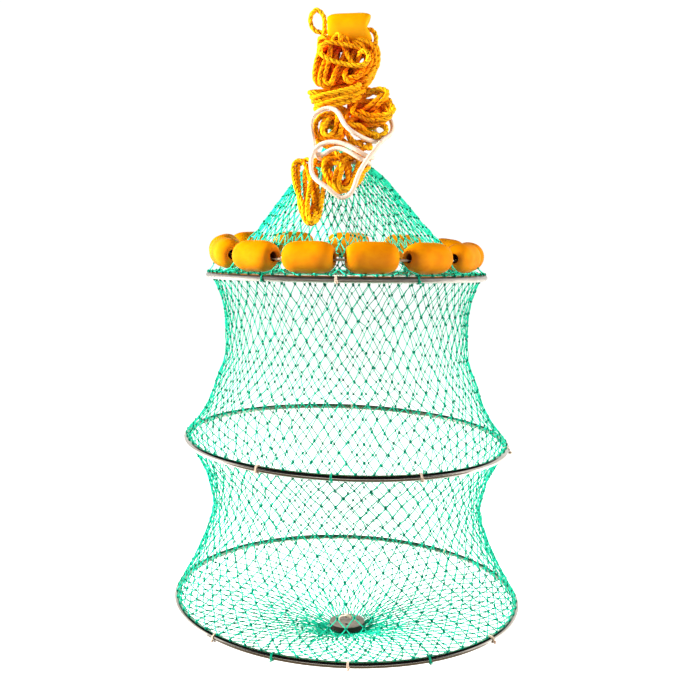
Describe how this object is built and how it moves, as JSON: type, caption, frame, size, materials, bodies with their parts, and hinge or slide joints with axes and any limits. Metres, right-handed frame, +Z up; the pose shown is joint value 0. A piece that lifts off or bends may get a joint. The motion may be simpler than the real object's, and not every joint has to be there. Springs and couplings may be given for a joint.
{
  "type": "floating live bait cage on its rope hank",
  "caption": "Collapsible floating keep cage of green knotted netting on round steel hoops, with a foam float collar, a sinker in its base and a wound carrying rope.",
  "frame": {"origin": "the top of the foam handle float, the point by which the hanging cage is held up, on the cage's axis", "axes": "+Z up along the cage's axis, -Y is the front where the rope hank hangs, +X to the right seen from the front"},
  "size_m": [0.35, 0.35, 0.6285],
  "materials": {
    "netting": "knotted polyethylene twine",
    "stainless_rod": "polished drawn rod",
    "foam": "skinned closed-cell foam, satin",
    "weight_metal": "dull brown-grey, bare",
    "rope": "laid polyethylene rope with orange-red flecks",
    "white_cord": "braided cream-white cord"
  },
  "bodies": {
    "root": {"net_cone": "netting", "net_side_upper": "netting", "net_side_lower": "netting", "net_base": "netting", "hoop_top": "stainless_rod", "hoop_middle": "stainless_rod", "hoop_bottom": "stainless_rod", "float_1": "foam", "float_2": "foam", "float_3": "foam", "float_4": "foam", "float_5": "foam", "float_6": "foam", "float_7": "foam", "float_8": "foam", "float_9": "foam", "float_10": "foam", "float_11": "foam", "float_12": "foam", "float_13": "foam", "handle_float": "foam", "float_cord": "white_cord", "weight": "weight_metal", "weight_tie": "white_cord", "rope_hank": "rope", "rope_lead": "rope", "tie_cord": "white_cord"}
  },
  "joints": []
}
